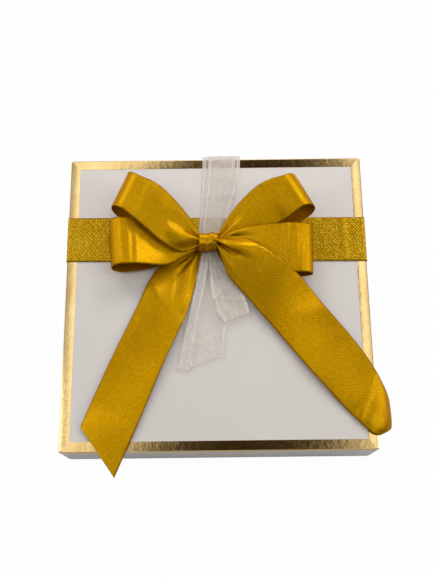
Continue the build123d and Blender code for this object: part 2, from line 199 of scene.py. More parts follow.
def satinFinish(name, tones, gloss, twillDepth, dots):
    # tones: deep, mid and bright; the threads run aslant, and the bright tone makes painted glints where
    # threads would catch the light
    deep, mid, bright = tones
    weave = satinWeave
    f = Finish(name, Metallic=gloss["metal"], Specular_IOR_Level=0.1, Specular_Tint=weave["tint"])
    along, across, _ = f.parts(f.place("UV"))
    cloud = f.speckle(38.0)
    lengthwise = (along + across * weave["slant"]) * weave["threadLength"]
    crosswise = (along * weave["slant"] - across) * weave["threadWidth"]
    thread = f.speckle(1.0, 3.0, f.vector(lengthwise, crosswise))
    twill, crossing = [
        (along * a + across * b).stripes(gloss["pitch"]) for a, b in (weave["twill"], weave["crossing"])
    ]
    twill = twill * 0.9 + crossing * 0.35
    rib = (along * 0.5 - across).stripes(weave["rib"])
    # painted glints: bright specks of colour where threads would catch the light
    paintedGlint = f.speckle(1500.0)
    shade = (cloud * 0.5 + thread + twill * twillDepth + rib * 0.04 - 0.2).held()
    selvedge = (across - ribbonWidth / 2).size().above(ribbonWidth / 2 - weave["selvedge"])
    base = f.blend(shade, deep, mid)
    base = f.blend(((paintedGlint + twill * twillDepth * 0.4 - 0.53) * dots).held(), base, bright)
    # painted shade: the colour darkens to the edge-on tone where the cloth is seen edge-on
    grazingShade = f.make("ShaderNodeLayerWeight", None, {"Blend": 0.35}, 1)
    base = f.blend((grazingShade * 0.9).held(), base, weave["edgeOnShadeTone"])
    # the yarns run along the ribbon and spread its shine across
    heights = across.stripes(weave["yarn"]) * gloss["yarn"] + twill * twillDepth * 0.012
    rough = gloss["rough"] + cloud * 0.05 + thread * 0.05
    return f.dressed(f.blend(selvedge * 0.4, base, deep), rough, heights, 1 * mm)


def paperFinish(name, pale, grey, roughness=0.5, fibre=0.02 * mm):
    f = Finish(name, Specular_IOR_Level=0.4)
    cloud = f.speckle(14.0, 4.0)
    grain = f.speckle(2600.0, 4.0)
    base = f.blend((cloud * 0.9 + grain * 0.2 - 0.05).held(), grey, pale)
    return f.dressed(base, roughness + grain * 0.15, grain, fibre)


def foilFinish():
    f = Finish("stampedGoldFoil", Metallic=1.0)
    cloud = f.speckle(55.0, 4.0)
    pits = f.speckle(1300.0, 4.0)
    crumple = f.speckle(330.0, 5.0, roughness=0.65)
    base = f.blend((cloud * 0.7 + pits * 0.5 - 0.1).held(), (190, 142, 68), (248, 226, 166))
    return f.dressed(base, 0.06 + pits * 0.1, pits * 0.4 + crumple, 0.06 * mm, 0.8)


# selvedge, hem and cord are distances from the middle line
organzaWeave = {
    "middle": 9.25 * mm, "pitch": 0.8 * mm, "selvedge": 7.7 * mm, "hem": 8.8 * mm, "cord": 7.8 * mm,
    "cordHalf": 0.18 * mm, "lightThrough": 0.6,
}


def organzaFinish(name, cover):
    f = Finish(name, Roughness=0.35, Sheen_Weight=0.2, Specular_IOR_Level=0.6)
    spec = organzaWeave
    along, across, _ = f.parts(f.place("UV"))
    weave = along.stripes(spec["pitch"]) * across.stripes(spec["pitch"])
    cloud = f.speckle(110.0)
    fine = f.speckle(1100.0, 2.0)
    border = (across - spec["middle"]).size()
    selvedge = border.above(spec["selvedge"])
    hem = border.above(spec["hem"]) + (border - spec["cord"]).size().below(spec["cordHalf"])
    base = f.blend(cloud, (228, 218, 206), (246, 238, 228))
    shadow = f.make("ShaderNodeLightPath", out="Is Shadow Ray")  # light passes through the threads too
    solid = cover + weave * 0.04 + (cloud - 0.5) * 0.26 + (fine - 0.5) * 0.18 + selvedge * 0.12 + hem * 0.4
    f.show("Alpha", (solid * (1 - shadow * spec["lightThrough"])).held())
    base = f.blend(hem.held() * 0.8, base, (255, 253, 250))
    return f.dressed(base, None, weave * 0.3 + cloud * 2.0 + fine * 0.8, 0.2 * mm)


def boardFinish(name, light, dark):
    f = Finish(name, Specular_IOR_Level=0.3)
    pulp = f.speckle(420.0, 6.0)
    fleck = f.speckle(2400.0, 2.0)
    base = f.blend((fleck - 0.62).held() * 2.5, f.blend(pulp, dark, light), dark)
    return f.dressed(base, 0.75 + pulp * 0.2, pulp * 2 + fleck, 0.06 * mm)


def chocolateFinish(name, dark, light, roughness):
    f = Finish(name, Specular_IOR_Level=0.5, Coat_Roughness=0.2, Subsurface_Weight=0.02)
    streak = f.speckle(70.0, 5.0)
    bubble = f.speckle(900.0)
    rough = roughness + streak * 0.22 + (bubble - 0.5).held() * 0.3
    return f.dressed(f.blend(streak, dark, light), rough, streak * 1.5 + bubble * 0.5, 0.1 * mm)


def cupFinish():
    f = Finish("brownGlassinePaper", Specular_IOR_Level=0.5)
    rim = (f.parts(f.place())[2] - 16.2 * mm).above(0.0)  # the pleats' tips are paler
    grain = f.speckle(1800.0)
    cloud = f.speckle(120.0, 4.0)
    base = f.blend(rim * 0.5, f.blend(cloud, (66, 38, 24), (104, 64, 42)), (150, 106, 76))
    return f.dressed(base, 0.4 + grain * 0.2, grain, 0.04 * mm)


def padFinish():
    f = Finish("embossedPadPaper", Specular_IOR_Level=0.35, Sheen_Weight=0.15)
    x, y, _ = f.parts(f.place())
    dots = x.stripes(3.6 * mm) * y.stripes(3.6 * mm)
    grain = f.speckle(1500.0, 4.0)
    base = f.blend(f.speckle(30.0), (212, 205, 196), (234, 229, 221))
    return f.dressed(base, 0.6 + grain * 0.15, dots + grain * 0.4, 0.18 * mm)


def plainFinish(name, first, second, roughness, scale):
    f = Finish(name, Specular_IOR_Level=0.45)
    grain = f.speckle(scale, 4.0)
    return f.dressed(f.blend(grain, first, second), roughness + grain * 0.15, grain, 0.08 * mm)


finishes = {
    "satin": satinFinish("goldSatin", ((172, 118, 0), (226, 170, 2), (252, 216, 70)),
                         {"metal": 0.64, "rough": 0.2, "yarn": 0.013, "pitch": 2.4 * mm}, 0.04, 2.0),
    "bandSatin": satinFinish("goldBandSatin", ((120, 80, 0), (212, 162, 2), (255, 220, 72)),
                             {"metal": 0.62, "rough": 0.24, "yarn": 0.011, "pitch": 1.82 * mm}, 0.2, 6.0),
    # the ribbon's back: a duller reverse of the satin, whose darker tones are also painted shade for the
    # insides of the loops
    "satinBackShaded": satinFinish("goldSatinBack", ((140, 84, 0), (172, 112, 2), (190, 140, 30)),
                             {"metal": 0.3, "rough": 0.5, "yarn": 0.01, "pitch": 2.4 * mm}, 0.1, 1.0),
    "picot": plainFinish("goldPicotThread", (120, 78, 4), (196, 146, 28), 0.45, 2000.0),
    "lidPaper": paperFinish("satinWhitePaper", (234, 227, 221), (224, 217, 211), 0.42),
    "basePaper": paperFinish("baseWhitePaper", (214, 207, 202), (204, 198, 194)),
    "liner": paperFinish("linerPaper", (228, 222, 212), (214, 208, 199), 0.62, 0.04 * mm),
    "foil": foilFinish(),
    "organza": organzaFinish("sheerOrganza", 0.25),
    "foldedOrganza": organzaFinish("foldedOrganza", 0.12),
    "greyBoard": boardFinish("greyBoard", (166, 161, 153), (134, 129, 122)),
    "card": boardFinish("dividerCard", (226, 221, 212), (204, 198, 188)),
    "cup": cupFinish(),
    "dark": chocolateFinish("darkChocolate", (46, 24, 15), (66, 38, 25), 0.24),
    "milk": chocolateFinish("milkChocolate", (96, 58, 36), (122, 78, 50), 0.3),
    "drizzle": plainFinish("creamDrizzle", (232, 214, 180), (244, 230, 204), 0.35, 500.0),
    "nut": plainFinish("roastedNut", (176, 118, 62), (218, 172, 112), 0.55, 900.0),
    "pad": padFinish(),
}
print("finishes made:", len(finishes))


def piece(name, points, faces, materials, faceMaterials=None, uvs=None, smooth=True):
    mesh = bpy.data.meshes.new(name)
    mesh.from_pydata([tuple(p) for p in points], [], faces)
    for m in materials:
        mesh.materials.append(m)
    if faceMaterials:
        mesh.polygons.foreach_set("material_index", faceMaterials)
    if uvs:
        layer = mesh.uv_layers.new(name="UVMap")
        for loop in mesh.loops:
            layer.data[loop.index].uv = uvs[loop.vertex_index]
    shadeSmooth(mesh, smooth)
    mesh.update()
    return shown(name, mesh)


def shadeSmooth(mesh, smooth=True):
    mesh.polygons.foreach_set("use_smooth", [smooth] * len(mesh.polygons))


def plainMesh(obj):
    # the object's mesh with its modifiers worked in
    graph = bpy.context.evaluated_depsgraph_get()
    mesh = bpy.data.meshes.new_from_object(obj.evaluated_get(graph), depsgraph=graph)
    obj.modifiers.clear()
    obj.data = mesh


def edited(mesh, *works):
    bm = bmesh.new()
    bm.from_mesh(mesh)
    for work in works:
        work(bm)
    bm.to_mesh(mesh)
    bm.free()


def outward(bm):
    bmesh.ops.recalc_face_normals(bm, faces=bm.faces[:])


def filled(bm):
    rim = [e for e in bm.edges if e.is_boundary]
    if rim:
        bmesh.ops.holes_fill(bm, edges=rim, sides=0)
    return rim


def finishPiece(obj, body, slot, *replaced):
    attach(obj, body)
    if replaced:
        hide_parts(*replaced)


def between(stations, perStretch):
    # a smooth line through the stations, with that many steps from one to the next
    ends = [stations[0]] + list(stations) + [stations[-1]]
    line = []
    for a, b, c, d in zip(ends, ends[1:], ends[2:], ends[3:]):
        for n in range(perStretch):
            t = n / perStretch
            w = (-t + 2 * t * t - t ** 3) / 2, (2 - 5 * t * t + 3 * t ** 3) / 2
            w += (t + 4 * t * t - 3 * t ** 3) / 2, (t ** 3 - t * t) / 2
            line.append(tuple(a[k] * w[0] + b[k] * w[1] + c[k] * w[2] + d[k] * w[3] for k in range(len(b))))
    line.append(stations[-1])
    return line


selvedges = []  # the ribbons' edge lines, which get their picots later


def cloth(name, line, style):
    # line holds (first edge, second edge, crown); style says how the cloth lies across
    rows, baseNormals, run = [], [], [0.0]
    for n, (first, second, crown) in enumerate(line):
        before, after = line[max(n - 1, 0)], line[min(n + 1, len(line) - 1)]
        travel = after[0] + after[1] - before[0] - before[1]
        baseNormals.append(travel.cross(second - first).normalized() * style["up"])
        if n:
            run.append(run[-1] + ((first + second) / 2 - (line[n - 1][0] + line[n - 1][1]) / 2).length)
    offset = Vector((style["seed"], 0, 0))
    for n, (first, second, crown) in enumerate(line):
        chord = second - first
        spare = max(style["width"] ** 2 - chord.length_squared, 0) ** 0.5
        row = []
        for k in range(style["across"] + 1):
            v = k / style["across"]
            share, extra = v, 0.0
            for fold in style["folds"]:
                share, extra = fold(v, run[n], run[-1], share, extra, spare)
            place = first + chord * share
            wave = noise.noise(place * style["flutterScale"] + offset) * style["flutter"]
            row.append(place + baseNormals[n] * (crown * 4 * v * (1 - v) + extra + wave))
        rows.append(row)
    return thickened(name, rows, baseNormals, run, style)


def thickened(name, rows, baseNormals, run, style, closed=False):
    # two faces a cloth's thickness apart, with a rim between them
    high, wide = len(rows), len(rows[0])
    size = high * wide
    half = style["thickness"] / 2
    normals = []
    for n in range(high):
        up = rows[(n + 1) % high if closed else min(n + 1, high - 1)]
        down = rows[n - 1 if closed or n else 0]
        for k in range(wide):
            side = rows[n][min(k + 1, wide - 1)] - rows[n][max(k - 1, 0)]
            normal = (up[k] - down[k]).cross(side)
            normal = normal.normalized() if normal.length > 1e-12 else baseNormals[n]
            normals.append(-normal if normal.dot(baseNormals[n]) < 0 and not closed else normal)
    if closed:
        places = [p for row in rows for p in row]
        middle = sum(places, Vector()) / size
        facing = sum((p - middle).dot(normal) for p, normal in zip(places, normals))
        normals = [v * (1 if facing > 0 else -1) for v in normals]
    points, uvs, faces, kinds = [], [], [], []
    for side in (half, -half):
        for n in range(high):
            for k in range(wide):
                points.append(rows[n][k] + normals[n * wide + k] * side)
                uvs.append((run[n], k / (wide - 1) * style["width"]))
    n, k = high // 2, wide // 2
    here = rows[n][k]
    right = (rows[n + 1][k] - here).cross(rows[n][k + 1] - here).dot(normals[n * wide + k]) > 0

    def quad(a, b, c, d, kind=0):
        faces.append((a, b, c, d) if right else (d, c, b, a))
        kinds.append(kind)

    def rim(a, b, flip):
        quad(*((a, b, b + size, a + size) if flip else (a, a + size, b + size, b)))

    for n in range(high if closed else high - 1):
        m = (n + 1) % high
        for k in range(wide - 1):
            a, b, c, d = n * wide + k, m * wide + k, m * wide + k + 1, n * wide + k + 1
            quad(a, b, c, d)
            quad(a + size, d + size, c + size, b + size, 1)
        for k, flip in ((0, False), (wide - 1, True)):
            rim(n * wide + k, m * wide + k, flip)
    if not closed:
        for n, flip in ((0, True), (high - 1, False)):
            for k in range(wide - 1):
                rim(n * wide + k, n * wide + k + 1, flip)
    obj = piece(name, points, faces, style["materials"], kinds, uvs)
    if style.get("picots"):
        selvedges.append([row[0] for row in rows])
        selvedges.append([row[-1] for row in rows])
    obj["run"] = run[-1]
    return obj


# a fold takes the share v across, the run s, the whole run, the share and height so far, and spare width
def gathers(count, depth, reach, bothEnds=True, drift=0.0):
    # soft pleats that take up the cloth's spare width near the knot and die away from it
    def fold(v, s, total, share, extra, spare):
        near = exp(-(s / reach) ** 2)
        if bothEnds:
            near = max(near, exp(-((total - s) / reach) ** 2))
        turn = tau * count * v + drift * s / reach
        edge = sin(pi * v) ** 0.5 if 0 < v < 1 else 0
        tall = min(depth, spare / (4 * count)) * near
        return share, extra + tall * edge * (sin(turn) + 0.3 * sin(turn * 1.7 + 1.3))
    return fold


def ridges(places):
    # raised or sunk lines across the cloth, in millimetres: distance along, height, half width, slant
    sized = [[value * mm for value in p] for p in places]

    def fold(v, s, total, share, extra, spare):
        for place, height, half, slant in sized:
            extra += height * exp(-((s - place - slant * (v - 0.5)) / half) ** 2)
        return share, extra
    return fold


rollSwell = 5 * mm  # how far from the knot a roll grows to its height


def puffed(roll):
    # a roll that leaves the knot between two valleys, and may lean over one of them
    side, length = roll.get("side", 1), roll["length"] * mm
    height, valley, back = roll["height"] * mm, roll["valley"] * mm, roll.get("back", 0) * mm

    def fold(v, s, total, share, extra, spare):
        fade = exp(-(s / length) ** 4) * (1 - 0.8 * exp(-s / rollSwell))
        apart = (v - roll["at"] - roll.get("drift", 0.0) * s / length) / roll["half"] * side
        crest = exp(-apart ** 2)
        extra += fade * height * crest
        extra -= fade * valley * exp(-((apart - 1.5) * 2) ** 2)
        extra -= fade * back * exp(-((apart + 1.5) * 2) ** 2)
        return share + fade * roll.get("lean", 0.0) * side * crest, extra
    return fold


def layered(layers, gap):
    # cloth folded lengthwise over itself
    def fold(v, s, total, share, extra, spare):
        step = v * layers
        index = min(int(step), layers - 1)
        part = step - index
        return (part if index % 2 == 0 else 1 - part), extra + gap * (step - layers / 2)
    return fold


def hung(title, node, line, style, cut=None):
    # makes a cloth on the lid in place of its CAD solid, and says what size it was cut to
    obj = cloth(title, line, style)
    width, run, area = style["width"], obj["run"], None
    if cut:
        trimmed(obj, *cut)
        area = round(width * run - 0.5 * width * cutSlant, 5)
    finishPiece(obj, "lid", style["slot"], node)
    print(title, "cut length", round(run * 1000, 1))


def turnedOver(rise, back, reach, steps):
    # a loop's outer end, where the ribbon turns over and comes back beneath
    turn = []
    for n in range(1, steps):
        angle = pi * n / steps
        edges = []
        for first, last in zip(rise[-1][:2], back[0][:2]):
            middle = (first + last) / 2
            edges.append(middle + (first - middle) * cos(angle) + reach * sin(angle))
        turn.append((*edges, 0.0))
    return rise + turn + back


loopFold = 0.26  # how far a loop's end reaches beyond its last station, in ribbon widths
cutSlant = 24 * mm  # how much further one edge of the left tail runs than the other

# stations in hundredths of the ribbon's width: back edge out, back, up; front edge out, back, up; crown
bowLoops = {
    "bow_loop_upper_left": {
        "title": "upperLeftLoop", "side": -1, "seed": 3.1, "gather": (2.2, 0.7, 15),
        "waves": ((39, 0.5, 2, 3), (30, -0.25, 4, 5)),
        "roll": {"at": 0.6, "drift": 0.12, "half": 0.17, "height": 2.6, "length": 20, "valley": 0.9,
                 "back": 1.6},
        "rise": (
            (-12, 13, 32, -12, -9, 30, 0), (0, 18, 38, 0, -10, 34, 3), (25, 57, 48, 36, -22, 34, 7),
            (63, 99, 62, 75, -6, 48, 4), (91, 120, 72, 112, 24, 62, 2), (126, 136, 76, 159, 62, 72, 0),
        ),
        "back": (
            (133, 138, 28, 166, 56, 28, 0), (105, 125, 23, 125, 32, 23, 0), (66, 100, 19, 83, 8, 19, 0),
            (25, 50, 17, 33, -5, 17, 0), (0, 16, 16, 0, -6, 16, 0), (-12, 12, 16, -12, -6, 16, 0),
        ),
    },
    "bow_loop_upper_right": {
        "title": "upperRightLoop", "side": 1, "seed": 5.7, "gather": (2.2, 0.7, 17),
        "waves": ((44, 0.3, 2.2, -3), (33, -0.2, 5, 0)),
        "roll": {"at": 0.6, "drift": 0.1, "half": 0.18, "height": 1.3, "length": 22, "valley": 0.7,
                 "back": 0.5},
        "rise": (
            (-12, 13, 26, -12, -8, 24, 0), (0, 18, 26, 0, -8, 24, 2), (35, 66, 44, 40, 6, 28, 5),
            (75, 104, 62, 95, 24, 36, 3), (105, 120, 74, 143, 42, 46, 2), (141, 130, 78, 181, 64, 70, 0),
        ),
        "back": (
            (151, 130, 30, 187, 50, 30, 0), (120, 118, 25, 156, 34, 25, 0), (77, 96, 20, 96, 20, 20, 0),
            (35, 56, 17, 40, 2, 17, 0), (0, 16, 17, 0, -6, 17, 0), (-12, 12, 17, -12, -6, 17, 0),
        ),
    },
    "bow_loop_lower_left": {
        "title": "lowerLeftLoop", "side": -1, "seed": 8.3, "gather": (2.2, 0.6, 15),
        "waves": ((42, 0.8, 9, 0), (36.5, 0.45, 1.5, 1), (41, 0.4, 1.3, 0)),
        "roll": {"at": 0.8, "half": 0.14, "height": 1, "length": 17, "valley": 0.4,
                 "back": 0.5, "side": -1},
        "rise": (
            (-12, 4, 24, -12, -12, 22, 0), (0, 4, 24, 0, -12, 22, 2), (40, 24, 26, 38, -34, 24, 3),
            (83, 39, 33, 71, -50, 31, 2), (124, 48, 45, 116, -52, 45, 0), (165, 50, 52, 155, -54, 52, 0),
        ),
        "back": (
            (165, 46, 10, 159, -58, 10, 0), (127, 42, 10, 120, -54, 10, 0), (84, 36, 10, 79, -44, 10, 0),
            (36, 20, 10, 36, -26, 10, 0), (0, 6, 10, 0, -10, 10, 0), (-12, 5, 10, -12, -8, 10, 0),
        ),
    },
    "bow_loop_lower_right": {
        "title": "lowerRightLoop", "side": 1, "seed": 11.9, "gather": (2.4, 0.7, 16),
        "waves": ((40, 0.5, 1.7, 0.5), (45, 0.5, 1.5, -0.5)),
        "roll": {"at": 0.22, "drift": -0.1, "half": 0.13, "height": 1.9, "length": 19, "valley": 0.7,
                 "back": 0.4},
        "rise": (
            (-12, 4, 34, -12, -14, 32, 0), (0, 4, 34, 0, -16, 32, 2), (40, 24, 40, 47, -24, 32, 2),
            (87, 30, 46, 95, -50, 30, 1), (137, 34, 48, 134, -68, 34, 0), (177, 36, 46, 173, -72, 42, 0),
        ),
        "back": (
            (179, 38, 10, 175, -72, 10, 0), (136, 36, 9, 133, -66, 9, 0), (86, 32, 9, 86, -48, 9, 0),
            (40, 20, 9, 41, -22, 9, 0), (0, 6, 9, 0, -10, 9, 0), (-12, 5, 9, -12, -8, 9, 0),
        ),
    },
}

bowTails = {
    "bow_tail_right": {
        "title": "rightTail", "side": 1, "seed": 21.3, "gather": (2.6, 0.9, 16),
        "waves": ((115, 0.5, 2.2, 9), (88, 0.3, 14, 12)),
        "roll": {"at": 0.4, "drift": -0.2, "half": 0.15, "height": 3.4, "length": 19, "valley": 2.6,
                 "back": 2, "lean": 0.1},
        "line": (
            (-12, 8, 42, -12, -12, 40, 0), (0, 8, 43, 0, -14, 41, 2), (33, 6, 50, 11, -42, 38, 4),
            (76, -6, 52, 23, -76, 30, 4), (159, -70, 46, 70, -129, 16, 2), (223, -140, 16, 133, -205, 10, 2),
            (267, -194, 10, 183, -268, 10, 3), (301, -243, 12, 227, -320, 8, 5),
            (327, -290, 10, 263, -360, 5, 6), (344, -325, -4, 289, -386, 5, 12),
            (351, -354, -22, 307, -402, 4, 15), (350, -378, -36, 321, -406, 0, 13),
        ),
    },
    "bow_tail_left": {
        "title": "leftTail", "side": -1, "seed": 15.4, "gather": (2.6, 0.5, 14),
        "waves": ((38, 0.7, 6, 14), (104, 0.12, 6, 12)),
        "roll": {"at": 0.7, "drift": 0.1, "half": 0.16, "height": 2.6, "length": 30, "valley": 0.5,
                 "side": -1},
        "cut": ((240, -384), (173, -481)),
        "line": (
            (-12, -4, 6, -12, -16, 6, 0), (0, -4, 5.5, 0, -20, 5.5, 0), (41, -24, 5.5, 1, -40, 5.5, 0),
            (83, -44, 6, 5, -74, 7, 1), (108, -82, 8, 16, -116, 10, 4), (131, -135, 8, 33, -166, 12, 5),
            (167, -212, 8, 67, -240, 14, 2), (205, -300, 10, 101, -322, 9, 4),
            (240, -384, 6, 133, -398, 6, 2), (276, -472, -5, 173, -486, -8, 0),
        ),
    },
}


def besideKnot(side, out, back, up):
    x = knot["x"] + side * (knot["length"] / 2 + out * ribbonWidth)
    return Vector((x, knot["y"] + back * ribbonWidth, lidTop + up * ribbonWidth))


def shares(rows):
    return [[value / 100 for value in row] for row in rows]


def sideLine(spec, rows):
    side = spec["side"]
    return [
        (besideKnot(side, *r[:3]), besideKnot(side, *r[3:6]), r[6] * ribbonWidth) for r in shares(spec[rows])
    ]


ribbonStyle = {
    "width": ribbonWidth, "thickness": 0.32 * mm, "across": 26, "flutter": 0.16 * mm, "flutterScale": 90.0,
    "materials": [finishes["satin"], finishes["satinBackShaded"]], "picots": True, "slot": "gold_satin",
}


def bowFolds(spec, **gathering):
    count, depth, run = spec["gather"]
    return [gathers(count, depth * mm, run * mm, **gathering), ridges(spec["waves"]), puffed(spec["roll"])]


def makeLoop(node, spec):
    rise = between(sideLine(spec, "rise"), 10)
    back = between(sideLine(spec, "back"), 10)
    heading = rise[-1][0] + rise[-1][1] - rise[-3][0] - rise[-3][1]
    reach = Vector((heading.x, heading.y, 0)).normalized() * ribbonWidth * loopFold
    style = dict(ribbonStyle, up=-spec["side"], seed=spec["seed"], folds=bowFolds(spec, drift=1.2))
    hung(spec["title"], node, turnedOver(rise, back, reach, 22), style)


def makeTail(node, spec):
    style = dict(ribbonStyle, up=-spec["side"], seed=spec["seed"], flutter=0.22 * mm, flutterScale=60.0)
    style["folds"] = bowFolds(spec, bothEnds=False, drift=0.8)
    cut = [besideKnot(spec["side"], *c, 0) for c in shares(spec.get("cut", ()))]
    line = between(sideLine(spec, "line"), 12)
    hung(spec["title"], node, line, style, cut)


def trimmed(obj, start, end):
    # cuts the tail's end aslant
    along = end - start
    normal = Vector((along.y, -along.x, 0)).normalized()
    if normal.y > 0:
        normal.negate()

    def sliced(bm):
        everything = bm.verts[:] + bm.edges[:] + bm.faces[:]
        bmesh.ops.bisect_plane(bm, geom=everything, plane_co=start, plane_no=normal, clear_outer=True)
        for edge in filled(bm):
            edge.smooth = False  # the cut edge stays crisp

    edited(obj.data, sliced, outward)
    selvedges[-2:] = [[p for p in line if (p - start).dot(normal) < 0] for line in selvedges[-2:]]


for bowNode, bowSpec in bowLoops.items():
    makeLoop(bowNode, bowSpec)
for bowNode, bowSpec in bowTails.items():
    makeTail(bowNode, bowSpec)


knotWrap = {
    "around": 72, "roundness": 2.5, "tuck": 0.9 * mm, "creases": 1.6, "creaseDepth": 0.4 * mm,
    "lean": 0.1, "thickness": 0.32 * mm, "overlap": 0.15 * mm, "sway": 0.35 * mm, "cut": (20 * mm, 32 * mm),
    # the hem across the wrap: share of the half length, share of the tuck
    "hem": ((-0.15, -1.0), (-0.45, -1.05), (-0.75, -0.95), (-0.93, -0.75), (-1.0, -0.45), (-0.96, -0.15)),
    "face": 0.86, "faceSteps": 18,
}


def makeKnot():
    spec, steps = knotWrap, knotWrap["faceSteps"]
    half = knot["length"] / 2 + spec["overlap"]
    hem = list(spec["hem"])
    profile = hem + [
        (-spec["face"] + spec["face"] * 2 * n / steps, 0.06 * cos(pi * (n / steps - 0.5)))
        for n in range(steps + 1)
    ]
    profile += [(-x, r) for x, r in reversed(hem)]
    rows, run, normals = [], [0.0], []
    a, b = knot["depth"] / 2, knot["height"] / 2
    centre = Vector((knot["x"], knot["y"], lidTop + knot["lift"] + b))
    for n in range(spec["around"]):
        turn = tau * n / spec["around"]
        c, s = cos(turn), sin(turn)
        power = 2 / spec["roundness"]
        out = Vector((0, a * copysign(abs(c) ** power, c), b * copysign(abs(s) ** power, s)))
        row = []
        for x, r in profile:
            face = max(0.0, 1 - abs(x) ** 4) if r > -0.2 else 0.0
            aslant = x * 0.5 + spec["lean"] * sin(turn - 1.9)
            crease = sin(tau * spec["creases"] * aslant + 0.6)
            crease += 0.4 * sin(tau * (x * 1.6 - 0.5 * cos(turn)))
            radial = out.normalized() * (r * spec["tuck"] * 1.6 + face * spec["creaseDepth"] * crease)
            spread = half * (1 + 0.05 * sin(turn * 2 + 0.5))
            sideways = x * spread + spec["sway"] * sin(turn + 1.0)
            row.append(centre + out + radial + Vector((sideways, 0, 0)))
        rows.append(row)
        normals.append(out.normalized())
        run.append(run[-1] + (tau * (a + b) / 2) / spec["around"])
    style = {"width": ribbonWidth, "thickness": spec["thickness"], "materials": [finishes["satin"]] * 2}
    obj = thickened("knotWrap", rows, normals, run, style, closed=True)
    for k in (len(hem) - 1, len(profile) - len(hem)):
        selvedges.append([row[k] for row in rows] + [rows[0][k]])
    finishPiece(obj, "lid", "gold_satin", "bow_knot")


makeKnot()
print("knot made")


# in millimetres
goldBand = {
    "backLeft": 45.8, "backRight": 44.4, "half": 80.3, "top": 34.3, "foot": 2.8, "tuckedTo": 78.6,
    "bend": 0.5, "crease": 69.0, "seed": 41.0,
}


def makeBand():
    half, top, foot, bend, tucked = [goldBand[k] * mm for k in ("half", "top", "foot", "bend", "tuckedTo")]
    backLeft, backRight = goldBand["backLeft"] * mm, goldBand["backRight"] * mm
    corner = [pi / 2 * n / 4 for n in range(5)]
    path = [(-tucked, foot)]
    path += [(-half + bend - bend * sin(t), foot + bend - bend * cos(t)) for t in corner]
    path += [(-half, foot + bend + (top - foot - bend * 2) * n / 10) for n in range(1, 10)]
    path += [(-half + bend - bend * cos(t), top - bend + bend * sin(t)) for t in corner]
    path += [(-half + bend + (half - bend) * n / 60, top) for n in range(1, 61)]
    path += [(-x, z) for x, z in reversed(path[:-1])]
    line = []
    for x, z in path:
        back = backLeft + (backRight - backLeft) * (x + half) / (half * 2)
        line.append((Vector((x, back, z)), Vector((x, back - ribbonWidth, z)), 0.0))
    side = (half - tucked + top - foot - bend * 1.6 + half) / mm
    style = dict(ribbonStyle, up=-1, seed=goldBand["seed"], flutter=0.05 * mm, thickness=0.3 * mm)
    style["materials"] = [finishes["bandSatin"], finishes["satinBackShaded"]]
    style["folds"] = [ridges([(side + goldBand["crease"], 0.35, 0.9, 0.6)])]
    hung("satinBand", "gold_band", line, style)


makeBand()


organzaStyle = {
    "width": 18.5 * mm, "thickness": 0.12 * mm, "across": 22, "flutter": 0.25 * mm, "flutterScale": 150.0,
    "materials": [finishes["organza"]] * 2, "up": 1, "slot": "organza",
}
overEdge = {  # distance behind the box's middle and height, in millimetres, down the back and under the rim
    "above": 0.45 * mm, "onFoil": 0.4 * mm, "foilFrom": 60, "rim": 3,
    "path": ((80.0, 35.1), (81.3, 34.4), (81.2, 32.4), (80.8, 26.0), (80.6, 15.0), (80.5, 6.0), (80.45, 3.2),
             (80.2, 2.6), (79.4, 2.55), (78.4, 2.6)),
}
# distance behind the box's middle, and x of the left and the right edge, in millimetres
sashes = {
    "organza_sash_under": {
        "title": "underSash", "seed": 51.0, "lift": 0.2,
        "edges": ((26, -9.5, 0.5), (30, -9.8, 1.2), (37, -9.4, 1.6), (48, -8.6, 3.2), (58, -8.2, 6.6),
                  (68, -7.6, 9.4), (76, -7.2, 10.6)),
    },
    "organza_sash_over": {
        "title": "overSash", "seed": 57.0, "lift": 0.55,
        "edges": ((26, -8.6, 1.2), (30, -8.4, 2.2), (37, -7.6, 4.4), (48, -6.6, 7.6), (58, -5.6, 10.4),
                  (68, -4.6, 12.6), (76, -4.0, 13.4)),
    },
}


def makeSash(node, spec):
    lift = spec["lift"] * mm

    def station(y, left, right, z):
        return Vector((left * mm, y, z)), Vector((right * mm, y, z)), 0.0

    stations = []
    for y, left, right in spec["edges"]:
        raised = lidTop + overEdge["above"] + lift + (overEdge["onFoil"] if y > overEdge["foilFrom"] else 0.0)
        stations.append(station(y * mm, left, right, raised))
    for y, z in overEdge["path"]:  # as wide as at the last station
        out = lift if z > overEdge["rim"] else 0
        stations.append(station(y * mm + out, left, right, z * mm + lift * 0.3))
    style = dict(organzaStyle, seed=spec["seed"], up=-1)
    style["folds"] = [
        gathers(2.6, 0.35 * mm, 16 * mm, bothEnds=False, drift=1.5),
        ridges([(32, 0.7, 0.6, 1.5), (43, 0.35, 0.9, -2)]),
    ]
    hung(spec["title"], node, between(stations, 7), style)


for sashNode, sashSpec in sashes.items():
    makeSash(sashNode, sashSpec)

# stations in hundredths of the satin's width: left edge right, forward, up; right edge the same; crown
organzaEnds = {
    "organza_tail_left": {
        "title": "leftOrganzaTail", "seed": 61.0, "finish": "foldedOrganza", "folds": [layered(3, 0.22 * mm)],
        "line": (
            (-12, -12, 13, 2, -12, 13, 0), (-14, 0, 12, 2, 0, 12, 0), (-20, 33, 11, -1, 33, 11, 1),
            (-31, 81, 9, -9, 86, 9, 2), (-43, 134, 6, -19, 138, 7, 2), (-56, 188, 4.5, -27, 193, 5, 2),
            (-68, 250, 4.5, -40, 253, 3.5, 1),
        ),
    },
    "organza_tail_right": {
        "title": "rightOrganzaTail", "seed": 67.0, "folds": [gathers(3.6, 0.7 * mm, 34 * mm, bothEnds=False)],
        "line": (
            (-6, -12, 8, 10, -12, 8, 0), (-5, 0, 7.5, 12, 0, 7.5, 0), (-10, 48, 6, 20, 50, 6, 1),
            (-22, 103, 5, 32, 104, 6, 2), (-28, 146, 4, 38, 151, 5, 2), (-37, 200, 3, 33, 200, 3, 2),
            (-42, 248, 3, 31, 224, 3, 1),
        ),
    },
}


